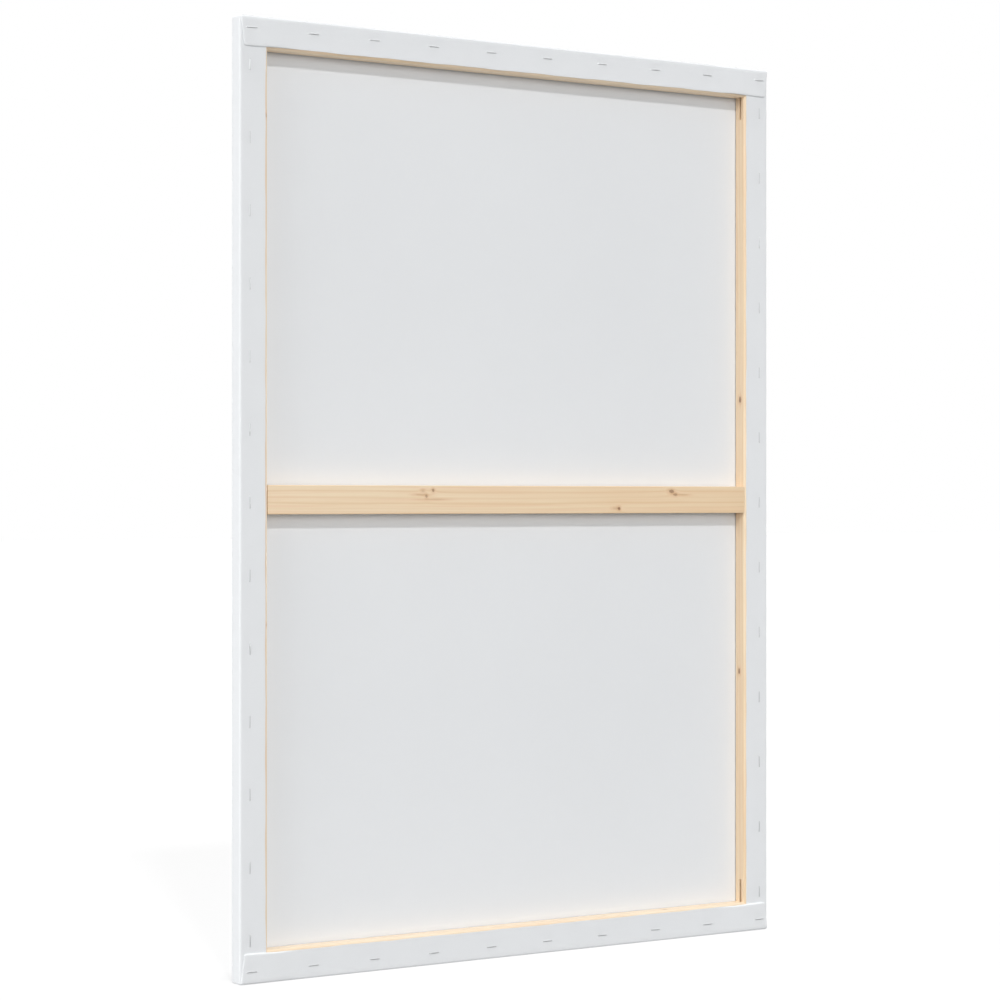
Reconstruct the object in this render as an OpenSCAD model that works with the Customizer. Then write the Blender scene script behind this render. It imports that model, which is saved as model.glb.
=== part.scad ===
// Blank canvas stretched over a mitred wooden frame with one cross brace.
// Upright: X runs across the width, Y through the depth with the painting side at -Y,
// and Z goes up. The origin is under the middle of the bottom edge. Millimetres.

/* [Canvas] */
// Overall width of the stretched canvas
canvas_w = 700; // [300:1:1200]
// Overall height of the stretched canvas
canvas_h = 1000; // [400:1:1600]
// Thickness of the primed cloth
cloth_t = 0.6; // [0.3:0.1:1]
// Outside radius of the cloth where it turns over the long edges of the frame
wrap_r = 2.5; // [1.5:0.1:5]
// Outside radius of the cloth at the four corners, seen from the front
corner_r = 2.5; // [1.5:0.1:8]
// Layers of cloth in the pleat that is folded over each back corner
pleat_layers = 3; // [2:1:4]
// How far the pleat's free end stands in from the side, at the flap's inner edge
pleat_inset = 5.5; // [3:0.5:12]
// Length over which the pleat runs out into the plain flap
pleat_runout = 10; // [4:1:30]

/* [Stretcher bars] */
// Width of each bar, seen from behind
bar_w = 33; // [28:1:60]
// Depth of each bar, front to back
bar_depth = 17; // [15:0.5:45]
// Width of the raised lip that carries the cloth along the outer edge
lip_w = 6; // [4:0.5:12]
// How far the front face falls back from the cloth at the bar's inner edge
bevel_drop = 1.2; // [0.5:0.1:4]
// Radius of the bar's inner back edge
inner_edge_r = 3; // [1:0.5:5]
// Width of bare wood between the flap and the bar's inner edge
wood_reveal = 3.6; // [2:0.1:10]

/* [Corner joints] */
// Thickness of the slot in the ends of the vertical bars
slot_t = 3.5; // [2.5:0.1:5]
// Wood between the slot and the back face
slot_back = 5.8; // [5:0.1:7]
// Length of the open key slot along the inner face, past the tongue
key_slot_l = 26; // [10:1:50]
// How far a tongue's edge stands back from its bar's inner face
tongue_setback = 1; // [0.5:0.5:4]
// Clearance on every side of a tongue or tenon
joint_gap = 0.1; // [0.05:0.05:0.3]

/* [Cross brace] */
// Width of the brace, seen from behind
brace_w = 30.5; // [20:0.5:60]
// Thickness of the brace
brace_t = 14; // [8:0.5:15]
// How far the brace lies in from the back face of the bars
brace_recess = 0.5; // [0:0.1:1.5]
// Radius along the long edges of the brace
brace_edge_r = 0.8; // [0.4:0.1:2]
// Length of the stub tenon at each end of the brace
tenon_l = 12; // [6:1:20]
// Thickness of the stub tenons
tenon_t = 4; // [3:0.5:6]
// Shoulder above and below each tenon
tenon_shoulder = 3; // [1:0.5:8]

/* [Staples] */
// Length of a staple's crown
crown_l = 12.8; // [8:0.2:14]
// Width of the flattened wire
wire_w = 0.95; // [0.7:0.05:1.4]
// Thickness of the flattened wire
wire_t = 0.65; // [0.5:0.05:0.9]
// Overall length of a leg, crown included
leg_l = 6; // [4:0.25:6.25]
// Staples along the top, and along the bottom
staples_across = 10; // [6:1:14]
// Staples up each side
staples_up = 13; // [8:1:20]
// Staple row to the top or bottom edge
row_inset_across = 13; // [9:0.5:20]
// Staple row to the side edge
row_inset_up = 12; // [9:0.5:20]
// Middle of the first and last staple across to the side edge
end_inset_across = 13.6; // [12:0.1:20]
// Middle of the lowest side staple to the bottom edge
low_inset_up = 45; // [40:1:80]
// Middle of the highest side staple to the top edge
high_inset_up = 51; // [40:1:80]

/* [Hidden] */
$fn = 48;

// How far a cut reaches past the solid it cuts
over = 2;

// The flap covers the bar up to the bare strip of wood
flap_w = bar_w + cloth_t - wood_reveal;
pleat_t = pleat_layers * cloth_t;

// Depth, from the painting side to the crowns of the corner staples, centred on Y = 0
total_d = 2 * cloth_t + bar_depth + pleat_t + wire_t;
front_y = -total_d / 2;
wood_front_y = front_y + cloth_t;
wood_back_y = wood_front_y + bar_depth;
flap_y = wood_back_y + cloth_t;
pleat_y = flap_y + pleat_t;
wood_mid_y = (wood_front_y + wood_back_y) / 2;

// The wooden frame inside the cloth
frame_w = canvas_w - 2 * cloth_t;
frame_h = canvas_h - 2 * cloth_t;
frame_edge_r = wrap_r - cloth_t;
frame_corner_r = corner_r - cloth_t;
mid_z = canvas_h / 2;

// Slot and tongue layers of the corner joints
slot_y = wood_back_y - slot_back - slot_t / 2;
tongue_t = slot_t - 2 * joint_gap;
slot_slope = key_slot_l / bar_w;

// Brace and tenons
brace_l = frame_w - 2 * bar_w;
brace_y = wood_back_y - brace_recess - brace_t / 2;
tenon_w = brace_w - 2 * tenon_shoulder;

// Staples
leg_drop = leg_l - wire_t;
pitch_across = (canvas_w - 2 * end_inset_across) / (staples_across - 1);
pitch_up = (canvas_h - low_inset_up - high_inset_up) / (staples_up - 1);
last_across = staples_across - 1;

function staple_x(i) = end_inset_across - canvas_w / 2 + i * pitch_across;
function staple_z(i) = low_inset_up + i * pitch_up;
// The first and last staple across hold the pleats, so they seat one pleat higher
function seat_y(i) = i == 0 || i == last_across ? pleat_y : flap_y;

// Rectangle with rounded corners, centred
module rounded_rect(w, h, r) {
    square([w - 2 * r, h], center = true);
    square([w, h - 2 * r], center = true);
    for (x = [-1, 1], y = [-1, 1])
        translate([x * (w / 2 - r), y * (h / 2 - r)])
            circle(r);
}

// What rounding takes off a square corner at the origin, whose sides run along +X and +Y
module corner_trim(r) {
    difference() {
        translate([-over, -over])
            square(r + over);
        translate([r, r])
            circle(r);
    }
}

// A plan drawn in X and Z, given a depth in Y and centred on it
module plan(d) {
    rotate([90, 0, 0])
        linear_extrude(d, center = true)
            children();
}

// A section drawn in Y and Z, carried along X and centred on it
module along_x(l) {
    rotate([90, 0, 90])
        linear_extrude(l, center = true)
            children();
}

// Centred block with its front and back edges rounded, and its four corners seen from the front
module rounded_block(w, d, h, edge_r, corner_r) {
    intersection() {
        along_x(w)
            rounded_rect(d, h, edge_r);
        linear_extrude(h, center = true)
            rounded_rect(w, d, edge_r);
        plan(d)
            rounded_rect(w, h, corner_r);
    }
}

// Bar section: outer edge at Z = 0, inner edge at Z = bar_w, front face bevelled behind the lip
module bar_section() {
    difference() {
        polygon([
            [wood_front_y, 0],
            [wood_back_y, 0],
            [wood_back_y, bar_w],
            [wood_front_y + bevel_drop, bar_w],
            [wood_front_y, lip_w]
        ]);
        translate([wood_front_y, 0])
            corner_trim(frame_edge_r);
        translate([wood_back_y, 0])
            mirror([1, 0])
                corner_trim(frame_edge_r);
        translate([wood_back_y, bar_w])
            rotate(180)
                corner_trim(inner_edge_r);
    }
}

// Bar along X with both ends mitred
module mitred_bar(l) {
    intersection() {
        along_x(l)
            bar_section();
        plan(2 * total_d)
            polygon([[-l / 2, 0], [l / 2, 0], [l / 2 - bar_w, bar_w], [bar_w - l / 2, bar_w]]);
    }
}

// Bar with a tongue at each end, which reaches through the corner to the far bar's outer edge
module tongued_bar(l) {
    mitred_bar(l);
    translate([-l / 2, slot_y - tongue_t / 2, 0])
        cube([l, tongue_t, bar_w - tongue_setback]);
}

// Cut for one slot at a bar's +X end. Its floor slants from the tongue at the outer edge to the
// far end of the key slot at the inner edge.
module end_slot(l) {
    floor_x = l / 2 - bar_w - joint_gap;
    translate([0, slot_y, 0])
        plan(slot_t)
            polygon([
                [l / 2 + over, -over],
                [floor_x + slot_slope * over, -over],
                [floor_x - key_slot_l - slot_slope * over, bar_w + over],
                [l / 2 + over, bar_w + over]
            ]);
}

// Pocket for a brace tenon in the bar's inner face, half way along
module brace_mortise() {
    depth = tenon_l + joint_gap;
    translate([0, brace_y, bar_w - depth / 2 + over / 2])
        cube([tenon_w + 2 * joint_gap, tenon_t + 2 * joint_gap, depth + over], center = true);
}

// Bar with an open slot at each end and a mortise for the brace
module slotted_bar(l) {
    difference() {
        mitred_bar(l);
        for (end = [0, 1])
            mirror([end, 0, 0])
                end_slot(l);
        brace_mortise();
    }
}

// Rounds the outer corners of whatever part of the frame it is given, and opens the staple holes
module frame_part() {
    difference() {
        intersection() {
            children();
            translate([0, 0, mid_z])
                plan(2 * total_d)
                    rounded_rect(frame_w, frame_h, frame_corner_r);
        }
        leg_holes();
    }
}

module top_bar() {
    color("burlywood")
        frame_part()
            translate([0, 0, canvas_h - cloth_t])
                mirror([0, 0, 1])
                    tongued_bar(frame_w);
}

module bottom_bar() {
    color("burlywood")
        frame_part()
            translate([0, 0, cloth_t])
                tongued_bar(frame_w);
}

// Side bar with its outer edge at -X
module side_bar() {
    translate([-frame_w / 2, 0, mid_z])
        rotate([0, 90, 0])
            slotted_bar(frame_h);
}

module left_bar() {
    color("burlywood")
        frame_part()
            side_bar();
}

module right_bar() {
    color("burlywood")
        frame_part()
            mirror([1, 0, 0])
                side_bar();
}

module cross_brace() {
    color("tan")
        translate([0, brace_y, mid_z]) {
            along_x(brace_l)
                rounded_rect(brace_t, brace_w, brace_edge_r);
            cube([brace_l + 2 * tenon_l, tenon_t, tenon_w], center = true);
        }
}

// Pleat on the back corner at -X and the bottom: its free end slants, and its other end thins
// out into the flap.
module corner_pleat() {
    run_end = flap_w + pleat_runout;
    translate([-canvas_w / 2, flap_y, 0])
        intersection() {
            linear_extrude(flap_w)
                polygon([[0, -cloth_t / 2], [0, pleat_t], [flap_w, pleat_t], [run_end, 0],
                         [run_end, -cloth_t / 2]]);
            plan(2 * total_d)
                polygon([[wrap_r, wrap_r], [pleat_inset, flap_w], [run_end, flap_w],
                         [run_end, wrap_r]]);
        }
}

module canvas() {
    color("whitesmoke")
        difference() {
            union() {
                difference() {
                    translate([0, (front_y + flap_y) / 2, mid_z])
                        rounded_block(canvas_w, flap_y - front_y, canvas_h, wrap_r, corner_r);
                    translate([0, wood_mid_y, mid_z])
                        rounded_block(frame_w, bar_depth, frame_h, frame_edge_r, frame_corner_r);
                    translate([0, wood_back_y, mid_z])
                        cube([canvas_w - 2 * flap_w, 2 * over, canvas_h - 2 * flap_w], center = true);
                }
                for (side = [0, 1], end = [0, 1])
                    translate([0, 0, mid_z])
                        mirror([side, 0, 0])
                            mirror([0, 0, end])
                                translate([0, 0, -mid_z])
                                    corner_pleat();
            }
            leg_holes();
        }
}

// Staple with its crown along X on the plane Y = 0, and its legs towards -Y
module staple() {
    half = crown_l / 2;
    plan_points = [[-half, wire_t], [-half, wire_t - leg_drop], [wire_t - half, -leg_drop],
                   [wire_t - half, 0], [half - wire_t, 0], [half - wire_t, -leg_drop],
                   [half, wire_t - leg_drop], [half, wire_t]];
    linear_extrude(wire_w, center = true)
        difference() {
            polygon(plan_points);
            for (end = [0, 1])
                mirror([end, 0])
                    translate([-half, wire_t])
                        mirror([0, 1])
                            corner_trim(wire_t);
        }
}

// The two holes that one staple's legs make
module leg_pair() {
    for (end = [-1, 1])
        translate([end * (crown_l - wire_t) / 2, (over - leg_drop) / 2, 0])
            cube([wire_t, leg_drop + over, wire_w], center = true);
}

// Places its children along the row across the frame at height z
module row_across(z) {
    for (i = [0 : last_across])
        translate([staple_x(i), seat_y(i), z])
            children();
}

// Places its children, turned upright, up the side at x
module row_up(x) {
    for (i = [0 : staples_up - 1])
        translate([x, flap_y, staple_z(i)])
            rotate([0, 90, 0])
                children();
}

top_row_z = canvas_h - row_inset_across;
bottom_row_z = row_inset_across;
right_row_x = canvas_w / 2 - row_inset_up;

module leg_holes() {
    row_across(top_row_z)
        leg_pair();
    row_across(bottom_row_z)
        leg_pair();
    row_up(-right_row_x)
        leg_pair();
    row_up(right_row_x)
        leg_pair();
}

module top_staples() {
    color("silver")
        row_across(top_row_z)
            staple();
}

module bottom_staples() {
    color("silver")
        row_across(bottom_row_z)
            staple();
}

module left_staples() {
    color("silver")
        row_up(-right_row_x)
            staple();
}

module right_staples() {
    color("silver")
        row_up(right_row_x)
            staple();
}

canvas();
top_bar();
bottom_bar();
left_bar();
right_bar();
cross_brace();
top_staples();
bottom_staples();
left_staples();
right_staples();
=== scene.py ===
"""Stretched canvas seen from behind: primed cloth on four pine bars with a cross brace and staples.

Lengths are metres, in the frame of the CAD model: X across, -Y the painting side, Z up.
"""

import math

import bpy
import numpy as np
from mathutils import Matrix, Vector


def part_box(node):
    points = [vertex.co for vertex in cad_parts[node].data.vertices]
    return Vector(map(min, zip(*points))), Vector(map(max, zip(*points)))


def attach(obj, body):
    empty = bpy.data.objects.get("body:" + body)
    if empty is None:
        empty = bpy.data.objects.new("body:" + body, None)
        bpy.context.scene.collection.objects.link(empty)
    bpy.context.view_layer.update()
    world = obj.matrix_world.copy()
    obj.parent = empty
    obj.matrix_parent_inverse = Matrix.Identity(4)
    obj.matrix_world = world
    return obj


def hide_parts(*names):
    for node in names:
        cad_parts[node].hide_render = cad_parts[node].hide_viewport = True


bl_info = {
    "name": "Stretched Canvas",
    "version": (1, 0, 0),
    "blender": (4, 5, 0),
    "location": "3D View > Sidebar > Canvas",
    "description": "Dresses a stretched canvas: primed cloth, pine bars, cross brace and staples",
    "category": "Object",
}

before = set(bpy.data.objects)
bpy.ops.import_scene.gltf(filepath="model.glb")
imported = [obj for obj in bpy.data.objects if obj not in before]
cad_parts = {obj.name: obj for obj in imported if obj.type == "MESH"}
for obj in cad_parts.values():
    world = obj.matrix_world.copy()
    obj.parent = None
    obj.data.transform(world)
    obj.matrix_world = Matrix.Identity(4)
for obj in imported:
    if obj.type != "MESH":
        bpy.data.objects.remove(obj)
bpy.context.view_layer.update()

MM = 0.001

# The cloth and the wood inside it, from the CAD boxes
CLOTH_LOW, CLOTH_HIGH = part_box("canvas")
WOOD_LOW, WOOD_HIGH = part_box("left_bar")
HALF_W = CLOTH_HIGH.x
HEIGHT = CLOTH_HIGH.z
MID_Z = HEIGHT / 2
FRONT_Y = CLOTH_LOW.y
CLOTH_T = WOOD_LOW.y - FRONT_Y
FLAP_Y = WOOD_HIGH.y + CLOTH_T
PLEAT_T = CLOTH_HIGH.y - FLAP_Y
DEPTH = FLAP_Y - FRONT_Y
BAR_NODES = ("top_bar", "bottom_bar", "left_bar", "right_bar")
STAPLE_NODES = ("top_staples", "bottom_staples", "left_staples", "right_staples")


def linear(red, green, blue):
    """A colour written as 0 to 255 on screen, as the linear values that shaders take, by the sRGB curve."""
    screen = np.array((red, green, blue)) / 255
    return tuple(np.where(screen > 0.04045, ((screen + 0.055) / 1.055) ** 2.4, screen / 12.92))


def length(name, description, default):
    """A length property in metres."""
    return bpy.props.FloatProperty(
        name=name, description=description, default=default, min=0.0, subtype="DISTANCE", unit="LENGTH",
        precision=5,
    )


def colour(name, description, default):
    """A colour property in linear values."""
    return bpy.props.FloatVectorProperty(
        name=name, description=description, default=default, min=0.0, max=1.0, size=3, subtype="COLOR",
    )


def angle(name, description, degrees):
    """An angle property, with its default given in degrees."""
    return bpy.props.FloatProperty(
        name=name, description=description, default=math.radians(degrees), subtype="ANGLE", unit="ROTATION",
    )


def plain_number(name, description, default):
    """A property for a strength, 0 or more."""
    return bpy.props.FloatProperty(name=name, description=description, default=default, min=0.0)


def whole_number(name, description, default):
    """A property for a number of like pieces, two or more."""
    return bpy.props.IntProperty(name=name, description=description, default=default, min=2)


class ClothSettings(bpy.types.PropertyGroup):
    """The primed cloth, its flaps and its corner pleats."""

    flap_width: length("Flap width", "Width of the cloth turned onto the back of the bars", 31 * MM)
    wrap_radius: length("Wrap radius", "Outside radius where the cloth turns over the frame", 2.5 * MM)
    pleat_start: length(
        "Pleat start", "Folded end of a corner pleat to the side, as it turns onto the back", 0.5 * MM)
    pleat_inset: length(
        "Pleat inset", "Folded end of a corner pleat to the side, at the flap's edge", 4.7 * MM)
    pleat_rise: length(
        "Pleat rise", "How much further onto the back a pleat reaches at its free corner", 1.6 * MM)
    rise_reach: length(
        "Rise reach", "Distance from the side in which a pleat's edge comes back to the flap's", 50 * MM)
    pleat_roll: length("Pleat roll", "Length of the rounded end and edge of a pleat", 2.2 * MM)
    pleat_corner: length("Pleat corner", "Radius of a pleat's free corner", 3.0 * MM)
    pleat_runout: length("Pleat run-out", "Length over which a pleat thins out into the flap", 48 * MM)
    pleat_depth: length("Pleat depth", "Depth behind the front over which a pleat gains its layers", 9 * MM)
    pleat_recess: length("Pleat recess", "How far a pleat lies sunk in the top or the bottom", 0.5 * MM)
    dent_depth: length("Dent depth", "How far a staple draws the cloth in", 0.22 * MM)
    dent_reach: length("Dent reach", "How far from its crown a staple draws the cloth in", 5 * MM)
    edge_lift: length("Edge lift", "How far the cut edge lifts between two staples", 0.18 * MM)
    edge_waver: length("Edge waver", "How far the cut edge strays from a straight line", 0.22 * MM)
    edge_trim: length("Edge trim", "How much closer the cut edge is trimmed on the +X side", 1.0 * MM)
    thread_pitch: length("Thread pitch", "Distance from thread to thread in the weave", 0.55 * MM)
    primed: colour("Primed side", "Colour of the primed face", linear(223, 225, 227))
    raw: colour("Raw side", "Colour of the unprimed back", linear(228, 230, 232))


class PineSettings(bpy.types.PropertyGroup):
    """The pine of the bars and the brace."""

    ring_spacing: length("Ring spacing", "Distance between growth rings", 4.8 * MM)
    early: colour("Early wood", "Colour of the pale spring growth", linear(236, 218, 190))
    warm: colour("Warm wood", "Colour of the pinkish streaks in it", linear(230, 200, 170))
    late: colour("Late wood", "Colour of the darker summer growth", linear(216, 184, 142))
    # Painted shade: a grey that darkens and dulls the bars' pine as if less light fell on it, not a greying
    # of the wood itself
    painted_grey_shade: colour("Dull wood", "Colour that a planed bar greys towards", linear(192, 187, 178))
    knot: colour("Knot", "Colour of a knot's heart", linear(122, 84, 58))
    knot_rim: colour("Knot rim", "Colour of the stained wood round a knot", linear(208, 165, 125))


class StapleSettings(bpy.types.PropertyGroup):
    """The fine wire staples in the flaps."""

    crown_length: length("Crown length", "Length of a staple over its legs", 12.8 * MM)
    wire_width: length("Wire width", "Width of the flattened wire", 0.95 * MM)
    wire_thickness: length("Wire thickness", "Thickness of the flattened wire", 0.65 * MM)
    bend_radius: length(
        "Bend radius", "Radius of the middle of the wire where crown and leg meet", 0.75 * MM)
    count_across: whole_number("Staples across", "Staples along the top, and along the bottom", 10)
    count_up: whole_number("Staples up", "Staples up each side", 13)
    tilt: angle("Tilt", "Most that a staple is turned from its row", 1.1)
    steel: colour("Steel", "Colour of the galvanised wire", (0.68, 0.69, 0.70))


class StageSettings(bpy.types.PropertyGroup):
    """Floor, light and camera."""

    lens: bpy.props.FloatProperty(
        name="Lens", description="Focal length on a 36 mm sensor", default=104.27, subtype="DISTANCE_CAMERA",
    )
    camera_turn: angle("Camera turn", "Turn of the camera about Z", 145.773)
    camera_x: length("Camera X", "Camera to the right of the middle", 1.8044)
    camera_y: length("Camera Y", "Camera behind the canvas", 2.6216)
    camera_z: length("Camera Z", "Height of the camera", 0.4997)
    sky: plain_number("Sky", "Strength of the even white light from all round", 0.365)
    lamps: plain_number("Lamps", "Level of all the lamps together", 1.0)
    floor: colour("Floor", "Colour of the floor in the lamps' light", (0.2, 0.2, 0.2))
    floor_glow: plain_number("Floor glow", "White that the camera sees on the floor besides that", 0.77)


def smooth(value):
    """Eases from 0 to 1 as the value goes from 0 to 1: three of its squares less two of its cubes."""
    t = np.clip(value, 0.0, 1.0)
    return t * t * (3 - 2 * t)


def stacked(*parts):
    """Arrays and numbers, spread to one shape and set side by side along a new last axis."""
    return np.stack(np.broadcast_arrays(*parts), axis=-1)


SHARP = math.radians(50)  # an edge that turns more than this is not shaded smooth
WELD = 0.0001 * MM  # points that agree to this are one


def grid_quads(index, flip=False):
    """Quads of a grid of point numbers, turned the other way round if flip."""
    quads = stacked(index[:-1, :-1], index[1:, :-1], index[1:, 1:], index[:-1, 1:]).reshape(-1, 4)
    return quads[:, ::-1] if flip else quads


def mesh_object(name, points, quads, uv=None, finishes=None):
    """An object at the origin with these points and quads, smooth shaded but for its sharp edges, with its
    flat coordinates as a UV map and a material number for each quad."""
    mesh = bpy.data.meshes.new(name)
    mesh.from_pydata(points.tolist(), [], quads.tolist())
    mesh.polygons.foreach_set("use_smooth", np.ones(len(quads), dtype=bool))
    if uv is not None:
        layer = mesh.uv_layers.new(name="flat_cloth")
        layer.uv.foreach_set("vector", uv.astype(np.float32).ravel())
    if finishes is not None:
        mesh.polygons.foreach_set("material_index", finishes)
    mesh.update()
    mesh.set_sharp_from_angle(angle=SHARP)
    obj = bpy.data.objects.new(name, mesh)
    bpy.context.scene.collection.objects.link(obj)
    return obj


def joined(patches):
    """Points, quads, flat coordinates by corner and materials by quad of grid patches, with points that
    coincide made one.

    Each patch is (points by row and column, flat coordinates likewise, flip, material).
    """
    points, flats, quads, finishes, start = [], [], [], [], 0
    for grid, flat, flip, finish in patches:
        index = np.arange(flat[..., 0].size).reshape(flat.shape[:2])
        quads.append(grid_quads(index, flip) + start)
        points.append(grid.reshape(-1, 3))
        flats.append(flat.reshape(-1, 2))
        finishes.append(np.full(len(quads[-1]), finish))
        start += len(points[-1])
    points, flats, quads = np.concatenate(points), np.concatenate(flats), np.concatenate(quads)
    _, first, number = np.unique(np.round(points / WELD), axis=0, return_index=True, return_inverse=True)
    return points[first], number.ravel()[quads], flats[quads.ravel()], np.concatenate(finishes)


# Cloth

PRIMED, RAW = 0, 1  # the cloth's materials
ARC_STEPS = 4  # quads in each half of a rounded edge
SIDE_STEPS = 4  # quads across the side between its rounded edges
FLAP_STEPS = 8  # quads across a flap
QUADS_PER_PITCH = 12  # quads from staple to staple
HEM = 0.2 * MM  # width of the last row of quads at a cut edge
SUNK = 0.03 * MM  # how far a pleat's thin end lies sunk in, and the gap between its layers
THICK = CLOTH_T - SUNK  # the sheet itself, just clear of the wood
# Cut edges of a grid: where they are, the axis across them, and which face comes first
FLAP_EDGES = ((np.s_[-1:], 0, 1),)
PLEAT_EDGES = ((np.s_[:1], 0, -1), *FLAP_EDGES, (np.s_[:, :1], 1, -1), (np.s_[:, -1:], 1, 1))
EDGE_POWER = 3  # a flap strays and lifts by this power of the share of its width
SLOW_WAVE, QUICK_WAVE = 59.0, 147.0  # the waves in which the cut edge strays, in radians to a metre
QUICK_SHARE = 0.6  # height of the quick wave as a share of the slow one's
SIDE_PHASE, END_PHASE = 1, 3  # phases of those waves, with opposite signs on opposite edges
PLEAT_LAYERS = 3  # layers of cloth in a pleat
TUCK_SHARE = 0.8  # share of the flap's width over which the inner layers of a pleat are tucked in
RAMP_STEPS, TOP_STEPS, NOSE_STEPS = 14, 9, 14  # quads up onto a pleat, along its top and round its end
LAYER_STEPS, BEND_STEPS = 5, 6  # quads along each of its inner layers, and round the bend between them
PLEAT_STEPS, TURN_STEPS = 10, 8  # quads along each straight run of a pleat, and round each turn
PLEAT_LEAD = 0.1  # share of the pleat's depth after which it is made
PLEAT_CUT = 0.3  # share of its height that a pleat keeps at its cut edge


def thick_sheet(outer, inner, flat, flip, cut):
    """Patches of a sheet with its thickness: the outer face, the inner face, and a rim along each cut
    edge."""
    patches = [(outer, flat, flip, PRIMED), (inner, flat, not flip, RAW)]
    for edge, axis, order in cut:
        rim = np.concatenate([outer[edge], inner[edge]][::order], axis=axis)
        patches.append((rim, np.concatenate([flat[edge], flat[edge]], axis=axis), flip, RAW))
    return patches


def rim_lines(radius):
    """Distances that cut a quarter round into equal angles: the radius times the tangent, up to 45
    degrees."""
    return radius * np.tan(np.linspace(0.0, math.pi / 4, ARC_STEPS + 1))


def front_lines(low, high, places, radius):
    """Grid lines across the front: close at the rounded edges, and even from the first staple's place to
    the last one's."""
    rim = rim_lines(radius)
    first, last = places[0], places[-1]
    even = np.linspace(first, last, (len(places) - 1) * QUADS_PER_PITCH + 1)
    step = even[1] - even[0]
    lead = np.linspace(low + radius, first, math.ceil((first - low - radius) / step) + 1)[1:-1]
    tail = np.linspace(last, high - radius, math.ceil((high - radius - last) / step) + 1)[1:-1]
    return np.concatenate([low + radius - rim[::-1], lead, even, tail, high - radius + rim])


def wrap_lines(cloth):
    """Grid lines from the front edge over the side and onto the back, as distances along the cloth."""
    radius = cloth.wrap_radius
    rim = rim_lines(radius)
    side = np.linspace(radius, DEPTH - radius, SIDE_STEPS + 1)[1:-1]
    flap = np.linspace(radius, cloth.flap_width - HEM, FLAP_STEPS + 1)[1:]
    back = np.concatenate([(radius - rim[::-1])[1:], flap, [cloth.flap_width]])
    return np.concatenate([radius - rim[::-1], side, DEPTH - radius + rim, DEPTH + back])


def rounded(sharp, radius):
    """A sharp box turned into a rounded one: each point is drawn to the nearest point of a box that is
    smaller by the radius, and set back out from it by the radius. Returns the points and their outward
    directions."""
    low = np.array([-HALF_W, FRONT_Y, 0.0]) + radius
    high = np.array([HALF_W, FLAP_Y, HEIGHT]) - radius
    core = np.clip(sharp, low, high)
    out = sharp - core
    out /= np.linalg.norm(out, axis=-1, keepdims=True)
    return core + radius * out, out


def staple_places(staples):
    """Middles of all staples' crowns in X and Z, and the directions of their crowns, row by row.

    Each row is spaced evenly between the ends of its CAD node's box.
    """
    half = staples.crown_length / 2
    middles, runs = [], []
    for node in STAPLE_NODES:
        low, high = np.array(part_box(node))[:, [0, 2]]
        across = high[0] - low[0] > high[1] - low[1]
        run = np.array([1.0, 0.0]) if across else np.array([0.0, 1.0])
        count = staples.count_across if across else staples.count_up
        share = np.linspace(0.0, 1.0, count)[:, None]
        ends = (low + high) / 2 + np.outer((-1, 1), run * ((high - low) / 2 - half))
        middles.append(ends[0] + share * (ends[1] - ends[0]))
        runs.append(np.repeat(run[None], count, axis=0))
    return middles, runs


def staple_dents(points, cloth, staples):
    """How far the staples draw the back in at each point: a bell curve of the distance to the crown."""
    middles, runs = (np.concatenate(rows) for rows in staple_places(staples))
    half = staples.crown_length / 2
    dent = np.zeros(points.shape[:-1])
    for middle, run in zip(middles, runs):
        away = points[..., [0, 2]] - middle
        along = np.clip(away @ run, -half, half)
        gap = np.linalg.norm(away - along[..., None] * run, axis=-1)
        dent += np.exp(-((gap / cloth.dent_reach) ** 2))
    return cloth.dent_depth * np.clip(dent, 0.0, 1.0)


def corner_share(from_side, cloth):
    """1 where a corner pleat has all its layers, easing to 0 where it has run out into the flap."""
    return 1 - smooth((from_side - cloth.flap_width) / cloth.pleat_runout)


def pleat_growth(y, cloth):
    """Share of the pleat's layers at a depth: 0 behind the rounded front edge, easing to 1 towards the
    back."""
    return smooth((y - FRONT_Y - cloth.wrap_radius) / cloth.pleat_depth)


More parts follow.
